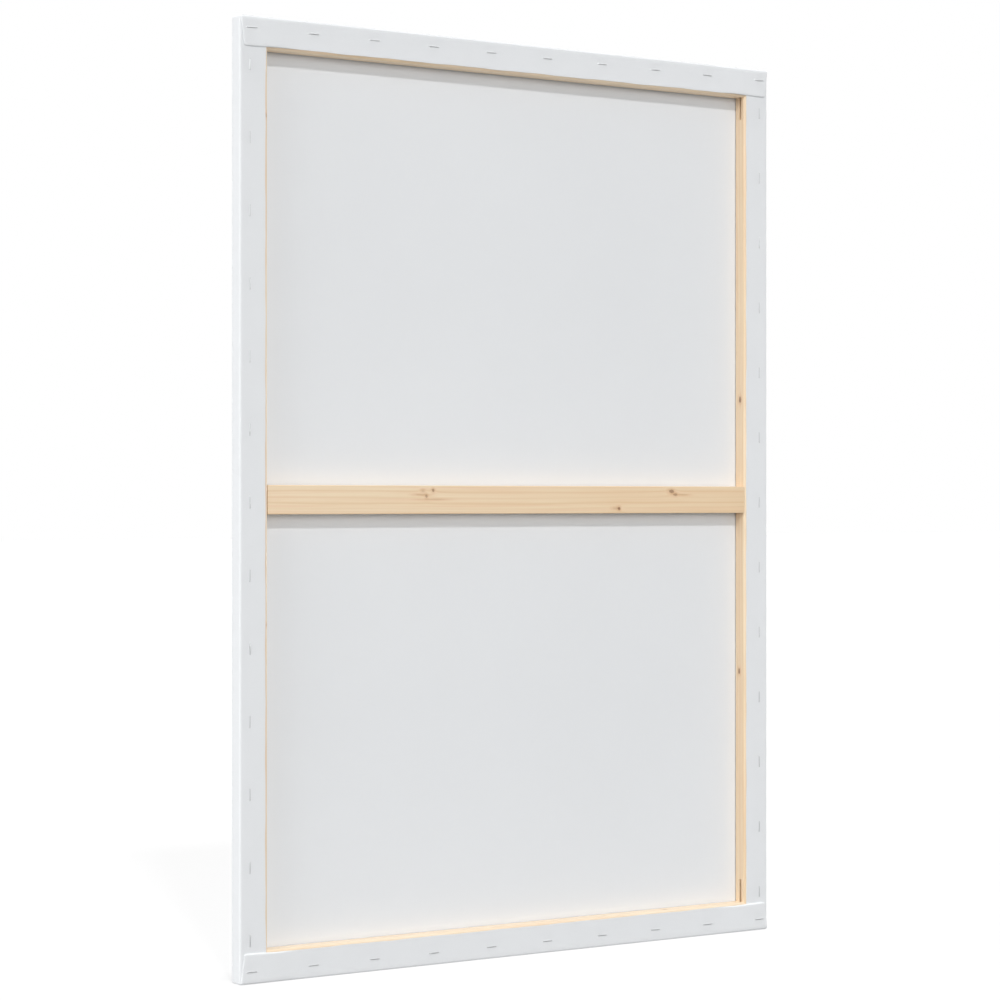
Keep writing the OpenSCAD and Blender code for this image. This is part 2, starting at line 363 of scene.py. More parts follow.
def wrapped_cloth(cloth, staples):
    """The cloth: a flat cross of front, four sides and four mitred flaps, folded round the frame.

    A point at flat distance c past an edge of the front lies c deep on the side, and past the depth it comes
    back in on the flap. The box so made is rounded. Then the flaps are drawn in at the staples and lifted
    between them, the cut edge wavers, and the ends of the top and bottom sink in under the corner pleats.
    The inner face lies the cloth's thickness inside the outer one.
    """
    middles, _ = staple_places(staples)
    places_across, places_up = middles[0][:, 0], middles[2][:, 1]
    across = front_lines(-HALF_W, HALF_W, places_across, cloth.wrap_radius)
    up = front_lines(0.0, HEIGHT, places_up, cloth.wrap_radius)
    wrap = wrap_lines(cloth)
    deep = FRONT_Y + np.minimum(wrap, DEPTH)
    inward = np.maximum(wrap - DEPTH, 0.0)
    edge_share = (inward / cloth.flap_width)[:, None] ** EDGE_POWER

    def finished(sharp, lift, flat, flip, cut):
        points, out = rounded(sharp, cloth.wrap_radius)
        from_side = HALF_W - np.abs(points[..., 0])
        sink = cloth.pleat_recess * pleat_growth(points[..., 1], cloth) * corner_share(from_side, cloth)
        points[..., 2] -= sink * out[..., 2]
        points[..., 1] += lift - staple_dents(points, cloth, staples) * np.clip(out[..., 1], 0.0, 1.0)
        return thick_sheet(points, points - THICK * out, flat, flip, cut)

    def wavered(along, places, phase, free):
        """How far the cut edge strays from a straight line and lifts, staple by staple, where it is free."""
        quick = QUICK_SHARE * np.sin(QUICK_WAVE * along + 2 * phase)
        stray = np.sin(SLOW_WAVE * along + phase) + quick
        lift = np.sin(math.pi * (along - places[0]) / (places[1] - places[0])) ** 2
        return edge_share * cloth.edge_waver * stray * free, edge_share * cloth.edge_lift * lift * free

    x, z = np.meshgrid(across, up, indexing="ij")
    patches = finished(stacked(x, FRONT_Y, z), 0.0, stacked(x, z), False, ())
    # Sides, then top and bottom: lines, staples, middle and half along the edge, middle and half across it,
    # phase, and which way round the coordinates go
    edges = (
        (up, places_up, MID_Z, MID_Z, 0.0, HALF_W, SIDE_PHASE, 1),
        (across, places_across, 0.0, HALF_W, MID_Z, MID_Z, END_PHASE, -1),
    )
    for lines, places, middle, half, out_middle, out_half, phase, order in edges:
        for side in (-1, 1):
            shown = middle + (lines - middle) * (1 - inward[:, None] / half)
            free = 1 - corner_share(half - np.abs(shown - middle), cloth)
            stray, lift = wavered(lines, places, phase * side, free)
            trimmed = cloth.edge_trim * edge_share * free if side == order == 1 else 0.0
            out = out_middle + side * (out_half - inward[:, None] + stray + trimmed)
            flat_out = out_middle + side * (out_half + wrap[:, None])
            sharp = stacked(*(out, deep[:, None], shown)[::order])
            flat = stacked(*(flat_out, lines)[::order])
            patches += finished(sharp, lift, flat, side * order < 0, FLAP_EDGES)
    return patches


def steps(first, last, count):
    """Values from first to last in equal steps, without the first."""
    return np.linspace(first, last, count + 1)[1:]


def run_length(one, other):
    """Distance from its first point along a line of points, given by their two coordinates."""
    return np.concatenate([[0.0], np.cumsum(np.hypot(np.diff(one), np.diff(other)))])


def pleat_outline(cloth, depth):
    """Section of a pleat at a depth inside its outer face: a ramp up from the flap, the top layer, the
    rolled end as half an ellipse, the bottom layer, a half round, and the middle layer tucked in between.

    Columns are the distance from the side, the share of the folded end's inset that is added to it, and the
    height above the flap.
    """
    flap, roll = cloth.flap_width, cloth.pleat_roll
    tucked = TUCK_SHARE * flap
    layer = (PLEAT_T - 2 * SUNK) / PLEAT_LAYERS
    inside = depth * layer
    thin = SUNK * (1 + depth)
    half = PLEAT_T / 2
    swing = layer + SUNK / 2
    ramp = flap + cloth.pleat_runout * np.linspace(1.0, 0.0, RAMP_STEPS + 1)
    reach = steps(0.0, 1.0, TOP_STEPS)
    turn = steps(0.0, math.pi, NOSE_STEPS)
    bend = steps(0.0, math.pi, BEND_STEPS)
    runs = (
        (ramp, 0.0, (PLEAT_T - inside + thin) * corner_share(ramp, cloth) - thin),
        (flap + reach * (roll - flap), reach, PLEAT_T - inside),
        (roll - (roll - inside) * np.sin(turn), 1.0, half + (half - inside) * np.cos(turn)),
        (steps(roll, tucked, LAYER_STEPS), 1.0, inside),
        (tucked + (swing - inside) * np.sin(bend), 1.0, swing - (swing - inside) * np.cos(bend)),
        (steps(tucked, roll + SUNK, LAYER_STEPS), 1.0, 2 * swing - inside),
    )
    return np.concatenate([stacked(*run) for run in runs])


def corner_pleats(cloth, staples):
    """The four pleats folded over the back corners: the section carried from just behind the front edge,
    along the bottom or top, round onto the back and in to the flap's cut edge.

    The folded end runs from the front corner close along the side, then over the back straight to its inset
    at the cut edge, where its corner is rounded. The cut edge is rolled down as a quarter of an ellipse, and
    rises evenly towards the free corner. On the bottom and top the layers are pressed into the recess there,
    so that the outer one is flush with the plain cloth. Close to the side the pleat follows the frame's
    rounded edge.
    """
    radius, flap, roll = cloth.wrap_radius, cloth.flap_width, cloth.pleat_roll
    lead = FRONT_Y + radius + PLEAT_LEAD * cloth.pleat_depth
    along = np.linspace(lead, FLAP_Y - radius, PLEAT_STEPS + 1)[:-1]
    turn = np.linspace(0.0, math.pi / 2, TURN_STEPS + 1)
    rolled = flap - roll * np.cos(turn)
    back = np.concatenate([steps(radius, rolled[0], PLEAT_STEPS)[:-1], rolled])
    y = np.concatenate([along, FLAP_Y - radius + radius * np.sin(turn), np.full(len(back), FLAP_Y)])
    z = np.concatenate([0 * along, radius - radius * np.cos(turn), back])
    out_y = np.concatenate([0 * along, np.sin(turn), np.ones(len(back))])
    out_z = np.concatenate([-np.ones(len(along)), -np.cos(turn), 0 * back])
    travel = y[0] - FRONT_Y + run_length(y, z)
    growth = pleat_growth(y, cloth)
    pressed = cloth.pleat_recess / PLEAT_T
    edge = np.clip((z - flap) / roll + 1, 0.0, 1.0)
    rounding = PLEAT_CUT + (1 - PLEAT_CUT) * np.sqrt(1 - edge ** 2)
    level = growth * (pressed + (1 - pressed) * smooth(1 + out_z)) * rounding
    corner = np.clip((z - flap) / cloth.pleat_corner + 1, 0.0, 1.0)
    straight = np.interp(travel, (0.0, DEPTH, travel[-1]), (0.0, cloth.pleat_start, cloth.pleat_inset))
    inset = straight + cloth.pleat_corner * (1 - np.sqrt(1 - corner ** 2))

    def placed(outline, side, end):
        from_side = outline[:, :1] + outline[:, 1:2] * inset
        drop = radius - np.sqrt(radius ** 2 - np.clip(radius - from_side, 0.0, radius) ** 2)
        recess = cloth.pleat_recess * growth * corner_share(from_side, cloth) * np.abs(out_z)
        offset = outline[:, 2:3] * level - recess - drop - SUNK * (1 - growth)
        rise = cloth.pleat_rise * np.clip(1 - from_side / cloth.rise_reach, 0.0, 1.0) * z / flap
        from_middle = MID_Z - z - rise - out_z * offset
        points = stacked(side * (HALF_W - from_side), y + out_y * offset, MID_Z + end * from_middle)
        dents = staple_dents(points, cloth, staples) * out_y
        points[..., 1] -= dents * np.clip(outline[:, 2:3] / PLEAT_T, 0.0, 1.0)
        return points

    outer, inner = pleat_outline(cloth, 0.0), pleat_outline(cloth, 1.0)
    run = run_length(outer[:, 0], outer[:, 2])
    patches = []
    for side in (-1, 1):
        for end in (-1, 1):
            flat = stacked(side * (HALF_W - flap + run[:, None]), MID_Z + end * (MID_Z + travel))
            patches += thick_sheet(
                placed(outer, side, end), placed(inner, side, end), flat, side * end < 0, PLEAT_EDGES)
    return patches


class CANVAS_OT_cloth(bpy.types.Operator):
    """Wrap the primed cloth round the frame and fold its corners"""

    bl_idname = "stretched_canvas.cloth"
    bl_label = "Cloth"

    def execute(self, context):
        cloth, staples = context.scene.canvas_cloth, context.scene.canvas_staples
        obj = mesh_object(
            "primed_cloth", *joined(wrapped_cloth(cloth, staples) + corner_pleats(cloth, staples)))
        for face in CLOTH_FACES:
            obj.data.materials.append(cloth_material(cloth, *face))
        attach(obj, "root")
        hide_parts("canvas")
        return {"FINISHED"}


# Staples

WIRE_POINTS = 12  # points round the wire
BEND_RINGS = 6  # rings of points round each bend
TIP_LENGTH = 1.2  # length of the chisel tip, in thicknesses of the wire
TIP_SHARE = 0.25  # share of its thickness that the wire keeps at the tip
SEAT_SHARE = 0.5  # share of the dent's depth by which a staple sits lower
TILT_STEP = 2.7  # radians from staple to staple in the wave that turns them


def wire_section(width, thickness):
    """Outline of the flattened wire: a flat oval, as a superellipse of the fourth power."""
    turn = np.linspace(0.0, 2 * math.pi, WIRE_POINTS, endpoint=False) + math.pi / WIRE_POINTS
    circle = stacked(np.cos(turn), np.sin(turn))
    return np.sqrt(np.abs(circle)) * np.sign(circle) * (width / 2, thickness / 2)


def one_staple(staples, leg):
    """A staple's rings of points: the wire's section carried down one leg, over two bends and the crown, and
    down the other leg. Its crown lies along the first axis, its legs go towards -Y, and its wire is
    flattened to a chisel edge at the tips. Returns points by ring and by place on the section."""
    thick, radius = staples.wire_thickness, staples.bend_radius
    half = (staples.crown_length - thick) / 2
    top = thick / 2
    foot = thick - leg
    turn = np.linspace(0.0, math.pi / 2, BEND_RINGS)
    down = np.array([(top - radius + foot) / 2, foot + TIP_LENGTH * thick, foot])
    right_u = np.concatenate([
        [0.0, half / 2], half - radius + radius * np.sin(turn), np.full_like(down, half)])
    right_y = np.concatenate([[top, top], top - radius + radius * np.cos(turn), down])
    right_lean = np.concatenate([[0.0, 0.0], turn, np.full_like(down, math.pi / 2)])
    u = np.concatenate([-right_u[:0:-1], right_u])
    y = np.concatenate([right_y[:0:-1], right_y])
    lean = np.concatenate([-right_lean[:0:-1], right_lean])
    chisel = np.ones_like(u)
    chisel[[0, -1]] = TIP_SHARE
    section = wire_section(staples.wire_width, thick)
    swing = section[:, 1] * chisel[:, None]
    u, y, lean = u[:, None], y[:, None], lean[:, None]
    return stacked(u + np.sin(lean) * swing, y + np.cos(lean) * swing, section[:, 0])


def staple_row(node, middles, runs, cloth, staples):
    """Points and quads of one row of staples, each turned a little about its middle.

    The end staples across sit on the pleats and the others on the flap, and all press in as the cloth does.
    """
    low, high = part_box(node)
    leg = FLAP_Y + staples.wire_thickness - low.y
    rings = one_staple(staples, leg)
    on_pleat = high.y > CLOTH_HIGH.y
    seat = np.full(len(middles), FLAP_Y)
    if on_pleat:
        seat[[0, -1]] = CLOTH_HIGH.y
    seat -= SEAT_SHARE * cloth.dent_depth
    turn = staples.tilt * np.sin(TILT_STEP * np.arange(len(middles)) + len(node))
    cos, sin = np.cos(turn)[:, None], np.sin(turn)[:, None]
    run = cos * runs + sin * runs[:, ::-1] * (-1, 1)
    wide = run[:, ::-1] * (-1, 1)
    flat = rings[None, ..., :1] * run[:, None, None, :] + rings[None, ..., 2:] * wide[:, None, None, :]
    flat += middles[:, None, None, :]
    points = stacked(flat[..., 0], rings[None, ..., 1] + seat[:, None, None], flat[..., 1])
    count, ring_count, around = points.shape[:3]
    index = np.arange(ring_count * around).reshape(ring_count, around)
    half = around // 2
    body = grid_quads(np.concatenate([index, index[:, :1]], axis=1))
    caps = stacked(index[[0, -1], :half], index[[0, -1], :-half - 1:-1])
    one = np.concatenate([body, grid_quads(caps[0]), grid_quads(caps[1], flip=True)])
    quads = (one[None] + np.arange(count)[:, None, None] * ring_count * around).reshape(-1, 4)
    return points.reshape(-1, 3), quads


class CANVAS_OT_staples(bpy.types.Operator):
    """Drive the four rows of staples"""

    bl_idname = "stretched_canvas.staples"
    bl_label = "Staples"

    def execute(self, context):
        cloth, staples = context.scene.canvas_cloth, context.scene.canvas_staples
        steel = steel_material(staples)
        for node, middles, runs in zip(STAPLE_NODES, *staple_places(staples)):
            row = staple_row(node, middles, runs, cloth, staples)
            obj = mesh_object(node.replace("staples", "staple_row"), *row)
            obj.data.materials.append(steel)
            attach(obj, "root")
            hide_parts(node)
        return {"FINISHED"}


# Shader nodes

def fed(socket, feed):
    """Feeds an input: another socket is linked to it, and a value is set."""
    if isinstance(feed, bpy.types.NodeSocket):
        socket.id_data.links.new(feed, socket)
    else:
        socket.default_value = feed


def supply(node, **feeds):
    """Feeds a node's inputs by name, with _ for a space."""
    for name, feed in feeds.items():
        fed(node.inputs[name.replace("_", " ")], feed)


def added(kind, *feeds):
    """A new node in the tree of the first socket among its feeds."""
    tree = next(feed.id_data for feed in feeds if isinstance(feed, bpy.types.NodeSocket))
    return tree.nodes.new("ShaderNode" + kind)


def put(kind, *feeds, **settings):
    """Adds a node with these settings and feeds its inputs in order, but for those that a setting switches
    off."""
    node = added(kind, *feeds)
    for name, value in settings.items():
        setattr(node, name, value)
    inputs = [socket for socket in node.inputs if socket.enabled]
    for socket, feed in zip(inputs, feeds):
        fed(socket, feed)
    return node


def maths(operation, *feeds):
    """The result of one sum."""
    return put("Math", *feeds, operation=operation).outputs[0]


def vector_maths(operation, *feeds):
    """The vector result of one vector sum."""
    return put("VectorMath", *feeds, operation=operation).outputs[0]


def vector_length(vector):
    """The length of a vector."""
    return put("VectorMath", vector, operation="LENGTH").outputs["Value"]


def ranged(value, low, high, least, most):
    """A value between low and high, brought to the same place between least and most."""
    return put("MapRange", value, low, high, least, most).outputs[0]


def ease(value, start, end):
    """0 up to start, easing to 1 at end."""
    return put("MapRange", value, start, end, 0.0, 1.0, interpolation_type="SMOOTHSTEP").outputs[0]


def fade(value, start, end):
    """1 up to start, easing to 0 at end."""
    return maths("SUBTRACT", 1.0, ease(value, start, end))


def noise(vector, scale=1.0, detail=2.0, roughness=0.5):
    """Noise from 0 to 1 about every 1/scale metres."""
    return put("TexNoise", vector, scale, detail, roughness).outputs[0]


def darker(shade, share):
    """A colour with its values brought down to this share."""
    return tuple(share * value for value in shade)


def mixed(share, one, other):
    """One colour, going over to the other as the share goes from 0 to 1."""
    node = added("Mix", share, one, other)
    node.data_type = "RGBA"
    sockets = {socket.identifier: socket for socket in (*node.inputs, *node.outputs)}
    fed(sockets["Factor_Float"], share)
    for name, shade in (("A_Color", one), ("B_Color", other)):
        fed(sockets[name], (*shade, 1.0) if isinstance(shade, tuple) else shade)
    return sockets["Result_Color"]


def node_group(name, outputs, **inputs):
    """An empty shader node group with named outputs, and inputs with their defaults: a vector if that is a
    tuple. Returns it with its input and output nodes."""
    tree = bpy.data.node_groups.new(name, "ShaderNodeTree")
    for label, default in inputs.items():
        kind = "NodeSocketVector" if isinstance(default, tuple) else "NodeSocketFloat"
        tree.interface.new_socket(label, in_out="INPUT", socket_type=kind).default_value = default
    for label in outputs:
        tree.interface.new_socket(label, in_out="OUTPUT", socket_type="NodeSocketFloat")
    return tree, tree.nodes.new("NodeGroupInput"), tree.nodes.new("NodeGroupOutput")


def placed_group(name, **feeds):
    """Outputs of a shared node group in a material, fed by the names of its inputs. The group is made the
    first time that it is asked for."""
    node = added("Group", *feeds.values())
    node.node_tree = bpy.data.node_groups.get(name) or GROUP_MAKERS[name]()
    supply(node, **feeds)
    return node.outputs


def new_material(name):
    """An empty node material with a Principled shader, and that shader."""
    material = bpy.data.materials.new(name)
    material.use_nodes = True
    tree = material.node_tree
    tree.nodes.clear()
    shader = tree.nodes.new("ShaderNodeBsdfPrincipled")
    output = tree.nodes.new("ShaderNodeOutputMaterial")
    tree.links.new(shader.outputs[0], output.inputs["Surface"])
    return material, tree, shader


def bumped(height, distance, strength):
    """A bump from a height from 0 to 1 over this distance."""
    bump = added("Bump", height)
    supply(bump, Strength=strength, Distance=distance, Height=height)
    return bump.outputs[0]


ORIGIN = (0.0, 0.0, 0.0)
NOISE_MIDDLE = (0.5, 0.5, 0.5)  # mean of a noise's three values
NOISE_RANGE = (0.3, 0.7)  # most of a noise's values lie in this range
THREAD_STRAY = 1.2 * MM  # width of the band in which a thread strays
STRAY_SCALE = 55.0  # turns of that stray to a metre
CROSSING_SWING, CROSSING_MEAN = 0.35, 0.6  # a thread's swing over and under the others, and its mean height
SLUB_ALONG, SLUB_ACROSS = 24.0, 900.0  # slubs to a metre along a thread, and across the threads
SLUB_BASE = 0.5  # height that a thread keeps without its slubs


def weave_group():
    """Plain weave. Warp and weft are rounded ridges, half a sine wave across each thread. Along its run each
    thread is raised and lowered as a cosine, the warp over every other crossing and the weft over those
    between. Noise makes the threads stray and gives them slubs."""
    tree, start, end = node_group("plain_weave", ("Height", "Slub"), Position=ORIGIN, Pitch=0.5 * MM)
    position, pitch = start.outputs["Position"], start.outputs["Pitch"]
    stray = put("TexNoise", position, STRAY_SCALE, 2.0, 0.5).outputs["Color"]
    stray = vector_maths("SUBTRACT", stray, NOISE_MIDDLE)
    strayed = vector_maths("ADD", position, vector_maths("SCALE", stray, THREAD_STRAY))
    threads = vector_maths("DIVIDE", strayed, put("CombineXYZ", pitch, pitch, pitch).outputs[0])
    across = put("SeparateXYZ", threads).outputs
    ridges = []
    for own, other in ((0, 1), (1, 0)):
        crown = maths("ABSOLUTE", maths("SINE", maths("MULTIPLY", across[own], math.pi)))
        number = maths("FLOOR", across[own])
        crossing = maths("ADD", maths("ADD", across[other], number), 0.5 + own)
        swing = maths("COSINE", maths("MULTIPLY", crossing, math.pi))
        rise = maths("MULTIPLY_ADD", swing, CROSSING_SWING, CROSSING_MEAN)
        ridges.append(maths("MULTIPLY", crown, rise))
    woven = maths("MAXIMUM", *ridges)
    slubs = []
    for stretch in ((SLUB_ALONG, SLUB_ACROSS, 0.0), (SLUB_ACROSS, SLUB_ALONG, 0.0)):
        slubs.append(noise(vector_maths("MULTIPLY", position, stretch), roughness=0.6))
    slub = maths("MULTIPLY", maths("ADD", *slubs), 0.5)
    supply(end, Height=maths("MULTIPLY", woven, maths("ADD", slub, SLUB_BASE)), Slub=slub)
    return tree


# Noise in the pine by name: waves to a metre along the grain and across it, detail and roughness
GRAIN = {
    "Sway": (2.6, 34.0, 2.0, 0.45),
    "Streak": (5.0, 330.0, 3.0, 0.55),
    "Fibre": (22.0, 1400.0, 3.0, 0.6),
    "Tone": (4.0, 45.0, 3.0, 0.55),
}
RING_SWAY = 9 * MM  # how far slow noise bends the rings
RING_SPREAD, RING_LEAST = 0.85, 0.15  # how far rings differ in darkness, and the least of it


def pine_group():
    """Pine grain. The distance from the pith, bent by slow noise and by knots, counts off growth rings. Each
    ring darkens slowly and ends sharply, some more than others. Streaks and fibres are noise drawn out along
    the grain, which runs along X, and the streaks bend round the knots too."""
    tree, start, end = node_group(
        "pine_grain", ("Late", "Streak", "Fibre", "Tone"),
        Position=ORIGIN, Pith=ORIGIN, Ring=5 * MM, Bend=0.0)
    position, bend = start.outputs["Position"], start.outputs["Bend"]

    def drawn_out(name, place):
        along, across, detail, roughness = GRAIN[name]
        stretched = vector_maths("MULTIPLY", place, (along, across, across))
        return noise(stretched, detail=detail, roughness=roughness)

    out = vector_maths("SUBTRACT", position, start.outputs["Pith"])
    radial = vector_maths("MULTIPLY", out, (0.0, 1.0, 1.0))
    swayed = maths("MULTIPLY_ADD", drawn_out("Sway", position), RING_SWAY, vector_length(radial))
    rings = maths("DIVIDE", maths("ADD", swayed, bend), start.outputs["Ring"])
    share = maths("FRACT", rings)
    dark = maths("MULTIPLY", ease(share, start=0.45, end=0.86), fade(share, start=0.90, end=1.0))
    own = put("TexWhiteNoise", maths("FLOOR", rings), noise_dimensions="1D").outputs["Value"]
    uneven = maths("MULTIPLY_ADD", own, RING_SPREAD, RING_LEAST)
    supply(end, Late=maths("MULTIPLY", dark, uneven))
    bowed = vector_maths("ADD", position, put("CombineXYZ", 0.0, bend, bend).outputs[0])
    for name, place in (("Streak", bowed), ("Fibre", position), ("Tone", position)):
        fed(end.inputs[name], drawn_out(name, place))
    return tree


KNOT_WOBBLE = 0.9  # how far a knot's outline wavers, in its half sizes


def knot_group():
    """A knot: an uneven oval about its centre. Its heart is inside the oval, its rim round it, and its pull
    on the grain falls off with the square of the distance."""
    tree, start, end = node_group(
        "knot", ("Heart", "Rim", "Pull"), Position=ORIGIN, Centre=ORIGIN, Size=(1.0, 1.0, 1.0))
    away = vector_maths("SUBTRACT", start.outputs["Position"], start.outputs["Centre"])
    away = vector_maths("DIVIDE", away, start.outputs["Size"])
    rough = noise(away, scale=1.7, roughness=0.6)
    wobble = maths("MULTIPLY_ADD", rough, KNOT_WOBBLE, -KNOT_WOBBLE / 2)
    gap = maths("ADD", vector_length(away), wobble)
    square = maths("MULTIPLY", gap, gap)
    supply(
        end, Heart=fade(gap, start=0.55, end=1.0), Rim=fade(gap, start=0.8, end=2.2),
        Pull=maths("DIVIDE", 1.0, maths("ADD", square, 1.0)))
    return tree


GROUP_MAKERS = {"plain_weave": weave_group, "pine_grain": pine_group, "knot": knot_group}

# The hollows' share is painted shade: the weave's hollows are darkened as if less light reached them
WEAVE_HOLLOW_SHADE, CLOUD = 0.88, 0.985  # shares of the cloth's colour in the weave's hollows and in faint clouds
WEAVE_SHARE = 0.40  # how far the weave's shades show over the clouds
CLOTH_SPREAD = 0.06  # how far slubs change the cloth's roughness
# The primed face, its weave half filled with white ground, and the raw back and cut edges: name, setting of
# the colour, relief and roughness
CLOTH_FACES = (
    ("white_primed_cloth", "primed", 0.10 * MM, 0.72),
    ("raw_cloth", "raw", 0.16 * MM, 0.88),
)


def cloth_material(cloth, name, face, relief, roughness):
    """Woven cloth in flat coordinates: a plain weave in relief, with painted shade in its hollows, faint
    clouds and slubs."""
    tint = tuple(getattr(cloth, face))
    material, tree, shader = new_material(name)
    unwrapped = tree.nodes.new("ShaderNodeUVMap")
    unwrapped.uv_map = "flat_cloth"
    flat = unwrapped.outputs[0]
    weave = placed_group("plain_weave", Position=flat, Pitch=cloth.thread_pitch)
    crowned = ease(weave["Height"], start=0.05, end=0.75)
    # painted shade in the weave's hollows
    woven = mixed(crowned, darker(tint, WEAVE_HOLLOW_SHADE), tint)
    cloudy = ease(noise(flat, scale=9.0, detail=3.0), start=0.2, end=0.8)
    clouded = mixed(cloudy, darker(tint, CLOUD), tint)
    spread = (roughness - CLOTH_SPREAD, roughness + CLOTH_SPREAD)
    supply(
        shader, Specular_IOR_Level=0.25,
        Base_Color=mixed(WEAVE_SHARE, clouded, woven),
        Roughness=ranged(weave["Slub"], *NOISE_RANGE, *spread),
        Normal=bumped(weave["Height"], distance=relief, strength=0.6))
    return material


MOTTLE = 0.75  # share of the steel's colour in the dark spots


def steel_material(staples):
    """Galvanised wire: grey metal with a mottled, half-matt coat and fine specks."""
    material, tree, shader = new_material("galvanised_wire")
    place = tree.nodes.new("ShaderNodeTexCoord").outputs["Object"]
    mottle = noise(place, scale=900.0, detail=3.0, roughness=0.6)
    steel = tuple(staples.steel)
    specks = noise(place, scale=5000.0, roughness=0.6)
    supply(
        shader, Metallic=1.0,
        Base_Color=mixed(mottle, darker(steel, MOTTLE), steel),
        Roughness=ranged(mottle, *NOISE_RANGE, least=0.28, most=0.5),
        Normal=bumped(specks, distance=0.02 * MM, strength=0.4))
    return material


# Wood. A piece's grain frame has X along its length, Y across its back face and Z through it.

KNOT_THROUGH = 40 * MM  # a knot is drawn out this far along the branch, through the piece


class Knot:
    """A knot by its place along the piece and across its face, and its half sizes, all in millimetres, with
    how dark its heart is. On the side, its place and its width are those through the piece instead."""

    def __init__(self, along, across, half_long, half_wide, dark, on_side=False):
        turn = -1 if on_side else 1
        self.centre = (along * MM, *(across * MM, 0.0)[::turn])
        self.size = (half_long * MM, *(half_wide * MM, KNOT_THROUGH)[::turn])
        self.half_wide = half_wide * MM
        self.dark = dark


BRACE_KNOTS = (
    Knot(112.6, 10.2, 2.1, 2.3, 0.62),
    Knot(121.2, 4.0, 2.0, 2.4, 0.48),
    Knot(128.5, 5.4, 9.0, 1.0, 0.16),
    Knot(125.6, 9.6, 2.6, 1.8, 0.16),
    Knot(112.0, 0.4, 17.0, 0.9, 0.13),
    Knot(-210.2, 9.6, 4.6, 2.7, 0.66),
    Knot(-215.6, 5.9, 4.0, 2.0, 0.50),
    Knot(-226.0, 5.8, 9.0, 0.9, 0.16),
    Knot(-136.0, -9.8, 2.5, 2.3, 0.80),
    Knot(-131.0, -9.6, 5.0, 1.4, 0.14),
)
LEFT_BAR_KNOTS = (
    Knot(116.0, 0.4, 5.0, 2.6, 0.85, on_side=True),
    Knot(-199.0, -1.2, 4.6, 2.2, 0.85, on_side=True),
)
BOTTOM_BAR_KNOTS = (Knot(-205.0, 2.0, 5.0, 1.6, 0.7, on_side=True),)
RIGHT_BAR_KNOTS = (
    Knot(398.0, 6.4, 3.6, 3.4, 0.34, on_side=True),
    Knot(-129.5, 6.4, 2.4, 2.6, 0.24, on_side=True),
    Knot(-88.0, 1.0, 4.2, 2.2, 0.8, on_side=True),
)
# Timber by node: the pith across and through the piece from its middle, its knots, how far it has gone over
# to the late wood's colour at the low and the high end of its length, how far it is greyed and darkened as
# painted shade, and its seed
TIMBER = {
    "top_bar": ((0.030, -0.045), (), (0.10, 0.10), 0.25, 1),
    "bottom_bar": ((-0.035, -0.040), BOTTOM_BAR_KNOTS, (0.04, 0.0), 0.30, 2),
    "left_bar": ((0.040, 0.035), LEFT_BAR_KNOTS, (0.06, 0.0), 0.0, 3),
    "right_bar": ((-0.025, -0.050), RIGHT_BAR_KNOTS, (0.05, 0.05), 0.30, 4),
    "cross_brace": ((0.062, -0.022), BRACE_KNOTS, (0.40, 0.02), 0.0, 7),
}
# Share of another colour by the grain's name: the grain's value at none of it, at the most, and the most
GRAIN_SHARES = {
    "Streak": (0.36, 0.64, 0.75),
    "Tone": (0.3, 0.7, 0.16),
    "Late": (0.0, 1.0, 0.58),
    "Fibre": (0.35, 0.75, 0.16),
}
SEED_STEP = 3.1  # metres along the grain from one piece's seed to the next
KNOT_PULL = 1.6  # how far a knot pulls the grain aside, in its half widths
RIM_SHARE = 0.40  # how far a knot stains the wood round it
LATE_RELIEF = 0.5  # relief of the late wood as a share of the fibres'


def pine_material(node, pine):
    """Pine for one piece: rings, streaks and fibres along its length, and its own knots."""
    pith, knots, tan, painted_grey_shade, seed = TIMBER[node]
    material, tree, shader = new_material("pine_" + node)
    low, high = (np.array(corner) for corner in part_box(node))
    upright = high[2] - low[2] > high[0] - low[0]
    place = tree.nodes.new("ShaderNodeTexCoord").outputs["Object"]
    axes = put("SeparateXYZ", vector_maths("SUBTRACT", place, tuple((low + high) / 2))).outputs
    order = (2, 0, 1) if upright else (0, 2, 1)
    grain = put("CombineXYZ", *(axes[i] for i in order)).outputs[0]
    seeded = vector_maths("ADD", grain, (SEED_STEP * seed, 0.0, 0.0))

    pull, hearts, rims = 0.0, [], []
    for knot in knots:
        made = placed_group("knot", Position=grain, Centre=knot.centre, Size=knot.size)
        pull = maths("MULTIPLY_ADD", made["Pull"], KNOT_PULL * knot.half_wide, pull)
        hearts.append(maths("MULTIPLY", made["Heart"], knot.dark))
        rims.append(maths("MULTIPLY", made["Rim"], RIM_SHARE))
    wood = placed_group(
        "pine_grain", Position=seeded, Pith=(0.0, *pith), Ring=pine.ring_spacing, Bend=pull)

    def share(name):
        none, full, most = GRAIN_SHARES[name]
        return ranged(wood[name], none, full, 0.0, most)

    late = tuple(pine.late)
    half = (high - low).max() / 2
    body = mixed(share("Streak"), tuple(pine.early), tuple(pine.warm))
    body = mixed(ranged(axes[order[0]], -half, half, *tan), body, late)
    # painted shade: the bars' pine is greyed and darkened as if less light fell on it
    body = mixed(painted_grey_shade, body, tuple(pine.painted_grey_shade))
    for name in ("Tone", "Late", "Fibre"):
        body = mixed(share(name), body, late)
    for rim in rims:
        body = mixed(rim, body, tuple(pine.knot_rim))
    for heart in hearts:
        body = mixed(heart, body, tuple(pine.knot))
    relief = maths("MULTIPLY_ADD", wood["Late"], LATE_RELIEF, wood["Fibre"])
    supply(
        shader, Base_Color=body, Specular_IOR_Level=0.5,
        Roughness=ranged(wood["Fibre"], *NOISE_RANGE, least=0.27, most=0.42),
        Normal=bumped(relief, distance=0.12 * MM, strength=0.35))
    return material


def dressed(node, pine):
    """Gives a CAD node its pine."""
    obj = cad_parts[node]
    obj.data.materials.clear()
    obj.data.materials.append(pine_material(node, pine))


